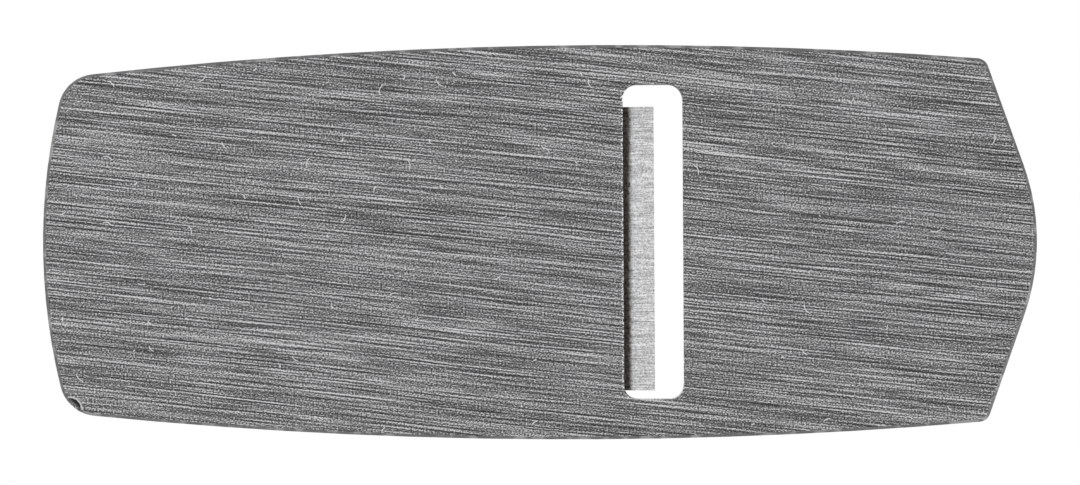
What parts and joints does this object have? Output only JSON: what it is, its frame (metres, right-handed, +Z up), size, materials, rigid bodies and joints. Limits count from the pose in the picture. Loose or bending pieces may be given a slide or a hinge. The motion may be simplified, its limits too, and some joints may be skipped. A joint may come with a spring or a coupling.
{
  "type": "hand plane",
  "caption": "Small metal pocket block plane with a curved-sided sole, wide mouth, low-angle bevel-up cutter, lever cap, screw feed and wooden toe knob.",
  "frame": {"origin": "middle of the sole, on the sole's plane", "axes": "+X along the sole towards the toe, +Y towards the left cheek, +Z up out of the sole"},
  "size_m": [0.089, 0.0352, 0.0319],
  "materials": {
    "casting": "ground sole and cheeks, dark casting inside",
    "cutter_steel": "ground tool steel",
    "enamel": "black enamel over iron",
    "steel": "turned steel",
    "spring_steel": "black oxide",
    "brass": "turned and knurled brass",
    "brass_screw": "polished brass",
    "hardwood": "oiled dark hardwood"
  },
  "bodies": {
    "plane_body": {"body": "casting", "cross_screw": "steel", "feed_stud": "steel", "stud_nut": "steel", "toe_knob": "hardwood", "knob_washer": "brass", "knob_screw": "brass_screw", "side_screws": "spring_steel"},
    "cutter": {"iron": "cutter_steel"},
    "feed_wheel": {"feed_nut": "brass"},
    "cap": {"lever_cap": "enamel"},
    "pad": {"clamp_pad": "brass", "pad_ring": "spring_steel"},
    "clamp": {"clamp_screw": "steel", "clamp_knob": "brass"}
  },
  "joints": [
    {"name": "cutter_feed", "type": "slide", "parent": "plane_body", "child": "cutter", "axis": [0.9397, 0, -0.342], "range_m": [-0.003, 0.0015]},
    {"name": "feed_turn", "type": "hinge", "parent": "cutter", "child": "feed_wheel", "pos_m": [-0.03477, 0, 0.0109], "axis": [0.9397, 0, -0.342], "range_deg": [-1543, 772]},
    {"name": "cap_tilt", "type": "hinge", "parent": "plane_body", "child": "cap", "pos_m": [-0.00596, 0, 0.01403], "axis": [0, -1, 0], "range_deg": [0, 2.9]},
    {"name": "pad_travel", "type": "slide", "parent": "cap", "child": "pad", "axis": [0.342, 0, 0.9397], "range_m": [0, 0.0008]},
    {"name": "clamp_turn", "type": "hinge", "parent": "pad", "child": "clamp", "pos_m": [-0.01949, 0, 0.02364], "axis": [0.342, 0, 0.9397], "range_deg": [0, 361]}
  ],
  "couplings": [
    {"joint": "feed_turn", "follows": "cutter_feed", "rad_per_m": 8976},
    {"joint": "clamp_turn", "follows": "pad_travel", "rad_per_m": 7854},
    {"joint": "cap_tilt", "follows": "pad_travel", "rad_per_m": 62.5}
  ]
}
